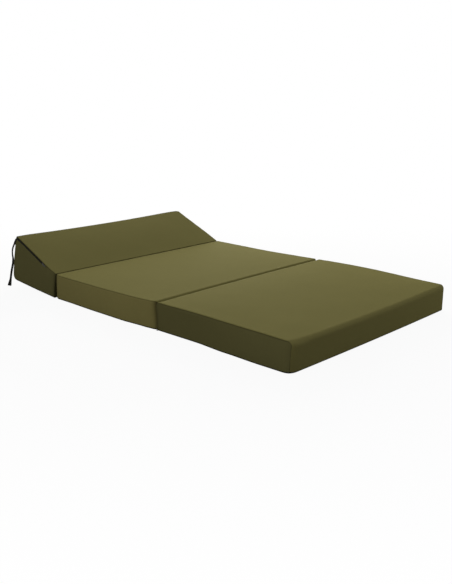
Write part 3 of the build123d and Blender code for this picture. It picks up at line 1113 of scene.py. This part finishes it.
def joint_strip(name, places, material, flange):
    """A strip across the bed through (along, up) places, in the joint between two sections, in place of the
    hidden flange.
    """
    across = np.linspace(-HALF_WIDTH + STRIP_END_INSET, HALF_WIDTH - STRIP_END_INSET, STRIP_COLUMNS)
    points = np.zeros((len(places), STRIP_COLUMNS, 3))
    points[:, :, 0] = across
    points[:, :, 1:] = np.array(places)[:, None, :]
    plain = np.zeros(points.shape[:2])
    made = cloth_panel(name, points, points[:, :, :2], plain, material, thickness=STRIP_THICKNESS)
    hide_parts(flange)
    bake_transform(made)


def valley(line, top, reach, depth, steps):
    """Places across a joint, from edge to edge, lowest on its line."""
    offsets = [-1 + 2 * k / steps for k in range(steps + 1)]
    return [(line + offset * reach, top - depth * (1 - offset**2)) for offset in offsets]


# The strip deep in the crease is in the darkened joint cloth: painted shade in the crease
crease_places = valley(HEAD_LINE, CREASE_STRIP_HEIGHT, reach=0.0015, depth=0.0008, steps=8)
joint_strip(
    "crease_strip", crease_places, shaded_joint_cloth, "crease_flange")
fold_places = valley(FOLD_LINE, STRIP_THICKNESS + FOLD_STRIP_LIFT, reach=0.0054, depth=-0.0002, steps=10)
joint_strip(
    "fold_strip", fold_places, base_cloth, "fold_flange")


# Small repeated parts along a path


CAPSULE_SIDES = 6
CAPSULE_BODY_SHARE = 0.32


def capsules(name, centres, along, across, length, radius, material, slot):
    """Short rounded rods of the wedge, such as stitches and zip teeth, as one mesh. Each has its own axis."""
    sides = CAPSULE_SIDES
    vertices = []
    faces = []
    for centre, axis, side in zip(centres, along, across):
        other = np.cross(axis, side)
        start = len(vertices)
        vertices.append(centre - axis * length / 2)
        for reach in (-CAPSULE_BODY_SHARE, CAPSULE_BODY_SHARE):
            for k in range(sides):
                angle = 2 * pi * k / sides
                spoke = side * cos(angle) + other * sin(angle)
                vertices.append(centre + axis * length * reach + spoke * radius)
        vertices.append(centre + axis * length / 2)
        last = start + 2 * sides + 1
        for k in range(sides):
            a = start + 1 + k
            b = start + 1 + (k + 1) % sides
            faces += [(start, b, a), (a, b, b + sides, a + sides), (a + sides, b + sides, last)]
    dress(mesh_object(name, vertices, faces, material), "wedge_section", slot)


def unit(vectors):
    return vectors / np.maximum(np.linalg.norm(vectors, axis=-1, keepdims=True), 1e-12)


def square_to(vectors, tangents):
    """The vectors' directions, made square to the tangents."""
    return unit(vectors - tangents * (vectors * tangents).sum(1, keepdims=True))


def placed(points, place):
    """Points moved from a section's own frame into the bed's."""
    turn = np.array(place.to_3x3())
    return points @ turn.T + np.array(place.translation)


def evenly(path, pitch, *fields):
    """Points along a path at an even pitch, and the other fields there."""
    places = lengths_along(path)
    count = int(places[-1] / pitch)
    wanted = (np.arange(count) + 0.5) * places[-1] / count
    made = []
    for field in (path, *fields):
        made.append(np.stack([np.interp(wanted, places, field[:, k]) for k in range(3)], 1))
    return made


# Zip round the wedge, just under the edge of its slope


ZIP_WIDTH = 0.0115
ZIP_START = 0.092
ZIP_BELOW_SLOPE = 0.0072
ZIP_BELOW_REAR = 0.0110
ZIP_STANDS = 0.0007
ZIP_SMOOTHING = 2
TAPE_THICKNESS = 0.0006
TOOTH_PITCH = 0.0016
TOOTH_LENGTH = 0.0030
TOOTH_RADIUS = 0.00055
ZIP_STITCH_PITCH = 0.0034
STITCH_LENGTH = 0.0026
STITCH_RADIUS = 0.00025
ZIP_STITCH_PLACE = 0.0046
TAPE_OFFSET_SHARES = np.array([-1, -0.96, -0.35, -0.15, 0.15, 0.35, 0.96, 1])
TAPE_STAND_SHARES = np.array([0.5, 1, 1, 0.7, 0.7, 1, 1, 0.5])
LEG_POINTS = 60
LEG_FIT = 4
CORNER_STEPS = 12
REAR_POINTS = 119


def zip_line():
    """The middle of the zip on the wedge's cover, in the wedge's frame, and the way that it faces."""
    corner = WEDGE_CORNER_RADIUS
    rear_up = WEDGE_REAR_HEIGHT - ZIP_BELOW_REAR
    leg = np.linspace(ZIP_START, wedge.depth(rear_up) - corner, LEG_POINTS)
    halves = []
    for side, column in ((-1, 0), (1, -1)):
        seam = wedge.wrap[wedge.top_rows, column]
        leg_up = np.interp(leg, seam[:, 1], seam[:, 2])
        leg_up = np.polyval(np.polyfit(leg, leg_up, LEG_FIT), leg) - ZIP_BELOW_SLOPE
        wide = wedge.bellied(leg, leg_up, side)
        half = [(side * x, along, up) for x, along, up in zip(wide, leg, leg_up)]
        ways = [(side, 0, 0)] * len(leg)
        for k in range(1, CORNER_STEPS):
            angle = pi / 2 * k / CORNER_STEPS
            up = leg_up[-1] + (rear_up - leg_up[-1]) * k / CORNER_STEPS
            along = wedge.depth(up) - corner * (1 - sin(angle))
            half.append((side * (wide[-1] - corner * (1 - cos(angle))), along, up))
            ways.append((side * cos(angle), sin(angle), 0))
        halves.append((half, ways))
    points, faces = halves[0]
    edge = -points[-1][0]
    for x in np.linspace(-edge, edge, REAR_POINTS)[1:-1]:
        up = rear_up - WEDGE_CENTRE_SAG * (1 - (x / edge) ** 2)
        points.append((x, wedge.depth(up), up))
        faces.append((0, 1, 0))
    points = np.array(points + halves[1][0][::-1])
    faces = np.array(faces + halves[1][1][::-1], float)
    vertices, cells, _ = welded(section_grids(wedge))
    cover = BVHTree.FromPolygons(vertices.tolist(), cells)
    for i, point in enumerate(points):
        points[i] = cover.find_nearest(Vector(point))[0]
    for k in range(ZIP_SMOOTHING):
        points[1:-1] += (points[:-2] + points[2:] - 2 * points[1:-1]) / 4
    return points, faces


def make_zip():
    path, faces = zip_line()
    path = placed(path, WEDGE_PLACE)
    tangents = unit(np.gradient(path, axis=0))
    faces = square_to(placed(faces, WEDGE_PLACE.to_3x3().to_4x4()), tangents)
    up = np.cross(tangents, faces)
    offsets = TAPE_OFFSET_SHARES * ZIP_WIDTH / 2
    stands = TAPE_STAND_SHARES * ZIP_STANDS
    points = path[:, None] + up[:, None] * offsets[None, :, None] + faces[:, None] * stands[None, :, None]
    uv = np.stack(np.broadcast_arrays(offsets[None, :], lengths_along(path)[:, None]), 2)
    tape = cloth_panel(
        "zip_tapes", points, uv, np.zeros(points.shape[:2]), tape_cloth, thickness=TAPE_THICKNESS)
    dress(tape, "wedge_section", "zip_tape", "wedge_zip")
    centres, ups, outs = evenly(path, TOOTH_PITCH, up, faces)
    capsules(
        "zip_coil", centres + outs * ZIP_STANDS, unit(ups), unit(outs), TOOTH_LENGTH, TOOTH_RADIUS,
        nylon, "zip_tape")
    centres, ups, outs, ways = evenly(path, ZIP_STITCH_PITCH, up, faces, tangents)
    for row, side in (("upper", 1), ("lower", -1)):
        spots = centres + ups * side * ZIP_STITCH_PLACE + outs * ZIP_STANDS
        capsules(
            "zip_stitching_" + row, spots, unit(ways), unit(outs), STITCH_LENGTH, STITCH_RADIUS,
            tape_cloth, "zip_tape")


make_zip()


# Tie at the near rear corner of the wedge: strap, tape and hem


TAB_WIDTH = 0.0125
TAB_THICKNESS = 0.0018
TIE_WIDTH = 0.0115
TIE_THICKNESS = 0.0011
TIE_TURN_PLACES = [0, 0.06, 0.26, 0.36, 0.48, 0.66, 0.80, 0.90, 1]
TIE_TURNS = [-60, -80, -83, -69, -38, -31, -50, -40, -31]
HEM_WIDTH = 0.020
HEM_HEIGHT = 0.0245
HEM_THICKNESS = 0.0024
HEM_TURN = radians(-31)
HEM_PLACE_SHARES = np.array([-0.60, -0.30, 0.0, 0.30, 0.55, 0.80, 0.97, 1.0])
HEM_WIDTH_SHARES = np.array([0.60, 0.68, 0.77, 0.86, 0.94, 1, 0.99, 0.93])
HEM_STITCHES = 7
HEM_STITCH_SPAN_SHARE = 0.42
HEM_STITCH_PLACE_SHARE = 0.72
TIE_STITCH_LENGTH = STITCH_LENGTH * 0.8

# The tie's route, from its tab down to its hem
tie_route = [
    (-0.6017, 0.9484, 0.2429),
    (-0.6076, 0.9559, 0.2271),
    (-0.6110, 0.9618, 0.2050),
    (-0.6108, 0.9648, 0.1816),
    (-0.6073, 0.9653, 0.1585),
    (-0.6091, 0.9660, 0.1350),
    (-0.6128, 0.9709, 0.1105),
    (-0.6161, 0.9767, 0.0864),
    (-0.6183, 0.9813, 0.0632),
    (-0.6207, 0.9847, 0.0403),
    (-0.6228, 0.9878, 0.0262),
]

# The strap's route, from the edge of the slope to the tie, and the way of its width at both ends
tab_route = [
    (-0.5985, 0.9285, 0.2705),
    (-0.6018, 0.9300, 0.2675),
    (-0.6031, 0.9320, 0.2640),
    (-0.6034, 0.9348, 0.2595),
    (-0.6030, 0.9390, 0.2545),
    (-0.6022, 0.9440, 0.2495),
    (-0.6017, 0.9484, 0.2425),
]
TAB_WIDE = ((0, -0.68, -0.74), (0.39, -0.76, -0.52))
TAB_STITCH_ROWS = (9, 14)
TAB_STITCHES = 5
TAB_STITCH_SPAN_SHARE = 0.38
TAPE_SECTION = [
    (-0.5, 0), (-0.47, 0.4), (-0.40, 0.5), (-0.2, 0.5), (0.2, 0.5), (0.40, 0.5), (0.47, 0.4), (0.5, 0)]


def spline_points(route):
    """The points of a smooth line that has the route's points as its control points."""
    curve = bpy.data.curves.new("route", "CURVE")
    curve.dimensions = "3D"
    curve.resolution_u = 8
    spline = curve.splines.new("NURBS")
    spline.points.add(len(route) - 1)
    for point, place in zip(spline.points, route):
        point.co = (*place, 1)
    spline.order_u = 3
    spline.use_endpoint_u = True
    holder = bpy.data.objects.new("route", curve)
    mesh = bpy.data.meshes.new_from_object(holder)
    points = np.array([tuple(v.co) for v in mesh.vertices])
    bpy.data.objects.remove(holder)
    bpy.data.meshes.remove(mesh)
    bpy.data.curves.remove(curve)
    return points


def ribbon(name, path, wide, widths, thickness, cad):
    """A flat tape along a path, whose width direction and width may change, with rounded edges."""
    tangents = unit(np.gradient(path, axis=0))
    wide = square_to(wide, tangents)
    out = np.cross(tangents, wide)
    shape = TAPE_SECTION + [(-a, -b) for a, b in TAPE_SECTION[1:-1]]
    count = len(shape)
    vertices = []
    uv = []
    for point, side, up, width, place in zip(path, wide, out, widths, lengths_along(path)):
        for a, b in shape:
            vertices.append(point + side * a * width + up * b * thickness)
            uv.append((a * width, place))
    faces = []
    for i in range(len(path) - 1):
        for k in range(count):
            a = i * count + k
            b = i * count + (k + 1) % count
            faces.append((a, b, b + count, a + count))
    faces.append(tuple(range(count))[::-1])
    faces.append(tuple((len(path) - 1) * count + k for k in range(count)))
    made = mesh_object(name, vertices, faces, tie_cloth)
    weave(made, uv, np.zeros(len(vertices)))
    dress(made, "wedge_section", "tie_tape", cad)
    return made, tangents, wide, out


def tie_stitches(name, spots, ways, outs):
    capsules(name, spots, ways, outs, TIE_STITCH_LENGTH, STITCH_RADIUS, tie_cloth, "tie_tape")


def make_tab():
    """A doubled strap sewn in at the edge of the slope, which lies over the corner and carries the tie."""
    path = spline_points(tab_route)
    share = np.linspace(0, 1, len(path))[:, None]
    wide = np.array(TAB_WIDE[0]) * (1 - share) + np.array(TAB_WIDE[1]) * share
    _, _, wide, out = ribbon(
        "tie_tab_fold", path, wide, np.full(len(path), TAB_WIDTH), TAB_THICKNESS, "tie_tab")
    offsets = np.linspace(-TAB_STITCH_SPAN_SHARE, TAB_STITCH_SPAN_SHARE, TAB_STITCHES) * TAB_WIDTH
    rows = np.repeat(TAB_STITCH_ROWS, TAB_STITCHES)
    offsets = np.tile(offsets, len(TAB_STITCH_ROWS))[:, None]
    spots = path[rows] + wide[rows] * offsets + out[rows] * TAB_THICKNESS / 2
    tie_stitches("tab_stitching", spots, wide[rows], out[rows])


def make_tie():
    path = spline_points(tie_route)
    length = lengths_along(path)
    turns = np.interp(length / length[-1], TIE_TURN_PLACES, np.radians(TIE_TURNS))
    wide = np.stack([np.cos(turns), np.sin(turns), 0 * turns], 1)
    tie, tangents, _, _ = ribbon(
        "tie_tape_run", path, wide, np.full(len(path), TIE_WIDTH), TIE_THICKNESS, "tie")
    end = path[-1]
    down = tangents[-1]
    across = np.array([cos(HEM_TURN), sin(HEM_TURN), 0])
    hem, _, wide, out = ribbon(
        "tie_hem_fold", end + down * (HEM_PLACE_SHARES * HEM_HEIGHT)[:, None],
        np.repeat(across[None], len(HEM_PLACE_SHARES), 0), HEM_WIDTH * HEM_WIDTH_SHARES, HEM_THICKNESS,
        "tie_hem")
    places = np.linspace(-HEM_STITCH_SPAN_SHARE, HEM_STITCH_SPAN_SHARE, HEM_STITCHES)[:, None] * HEM_WIDTH
    middle_hem = end + down * HEM_HEIGHT * HEM_STITCH_PLACE_SHARE
    for face, side in (("front", 1), ("back", -1)):
        spots = middle_hem + wide[0] * places + out[0] * side * HEM_THICKNESS / 2
        tie_stitches(
            "hem_stitching_" + face, spots, np.repeat(wide[:1], HEM_STITCHES, 0),
            np.repeat(out[:1], HEM_STITCHES, 0))


make_tab()
make_tie()

# The zip's slider and pull are shown as they are, in enamel
for metal in ("zip_slider", "zip_pull"):
    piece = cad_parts[metal]
    piece.data.materials.clear()
    piece.data.materials.append(enamel)


# Floor, world and lamps


FLOOR_REACH = 14.0
FLOOR_DROP = 0.0006
FLOOR_PALE_REACH = 1.3
FLOOR_WHITE_REACH = 2.6
FLOOR_WHITE_SHARE = 0.93
FLOOR_WHITE = (0.97, 0.97, 0.97, 1)
FLOOR_UNSEEN = (0.22, 0.22, 0.21, 1)
AMBIENT = 0.330
AMBIENT_COLOUR = (0.99, 1.0, 1.12)
LAMP_COLOUR = (1.0, 0.99, 0.88)
LAMP_TARGET = Vector((0, 0.1, 0))

# Each lamp's name, turn, rise, distance, size and power
LAMPS = [
    ("head_lamp", 45, 20, 5.2, 3.4, 212.0),
    ("left_lamp", -110, 20, 5.2, 2.6, 47.0),
    ("right_lamp", 128, 12, 3.4, 1.6, 12.0),
]


def seen_directly(tree):
    """1 for rays from the camera, also by way of mirrors and glass, and 0 for the others."""
    rays = node(tree, "ShaderNodeLightPath").outputs
    seen = maths(tree, "MAXIMUM", rays["Is Camera Ray"], rays["Is Glossy Ray"])
    return maths(tree, "MAXIMUM", seen, rays["Is Transmission Ray"])


def make_floor():
    """A white floor that keeps the bed's shadow, and throws little light back on the bed."""
    corners = ((-1, -1), (1, -1), (1, 1), (-1, 1))
    vertices = [(x * FLOOR_REACH, y * FLOOR_REACH, -FLOOR_DROP) for x, y in corners]
    material = bpy.data.materials.new("floor")
    material.use_nodes = True
    tree = material.node_tree
    tree.nodes.remove(tree.nodes["Principled BSDF"])
    seen = seen_directly(tree)
    white = node(tree, "ShaderNodeEmission", {"Color": (1, 1, 1, 1), "Strength": 1.0}).outputs[0]
    pale = node(tree, "ShaderNodeBsdfDiffuse", {"Color": FLOOR_WHITE}).outputs[0]
    place = node(tree, "ShaderNodeTexCoord").outputs["Object"]
    reach = node(tree, "ShaderNodeVectorMath", {0: place}, operation="LENGTH").outputs["Value"]
    fade = {0: reach, 1: FLOOR_PALE_REACH, 2: FLOOR_WHITE_REACH, 3: FLOOR_WHITE_SHARE, 4: 1.0}
    plain = node(tree, "ShaderNodeMapRange", fade).outputs[0]
    shown = node(tree, "ShaderNodeMixShader", {0: plain, 1: pale, 2: white}).outputs[0]
    grey = node(tree, "ShaderNodeBsdfDiffuse", {"Color": FLOOR_UNSEEN}).outputs[0]
    both = node(tree, "ShaderNodeMixShader", {0: seen, 1: grey, 2: shown}).outputs[0]
    feed(tree, tree.nodes["Material Output"], {"Surface": both})
    mesh_object("floor", vertices, [(0, 1, 2, 3)], material, smooth=False)


def make_world():
    """A white background, which lights the bed much less than it shows."""
    world = bpy.data.worlds.new("studio")
    world.use_nodes = True
    tree = world.node_tree
    seen = seen_directly(tree)
    unseen = maths(tree, "SUBTRACT", 1.0, seen)
    feed(tree, tree.nodes["Background"], {
        "Color": mixed(tree, seen, AMBIENT_COLOUR, (1, 1, 1)),
        "Strength": maths(tree, "MULTIPLY_ADD", unseen, AMBIENT, seen),
    })
    bpy.context.scene.world = world


def make_lamp(name, turn, rise, distance, size, power):
    """A round lamp aimed at the bed, from a direction given as a turn from behind the head and a rise."""
    flat = distance * cos(radians(rise))
    offset = Vector((flat * sin(radians(turn)), flat * cos(radians(turn)), distance * sin(radians(rise))))
    data = bpy.data.lights.new(name, "AREA")
    data.shape = "DISK"
    data.size = size
    data.energy = power
    data.color = LAMP_COLOUR
    lamp = linked(name, data)
    lamp.location = LAMP_TARGET + offset
    lamp.rotation_mode = "QUATERNION"
    lamp.rotation_quaternion = offset.to_track_quat("Z", "Y")


make_floor()
make_world()
for lamp in LAMPS:
    make_lamp(*lamp)

bpy.context.scene.view_settings.view_transform = "Standard"
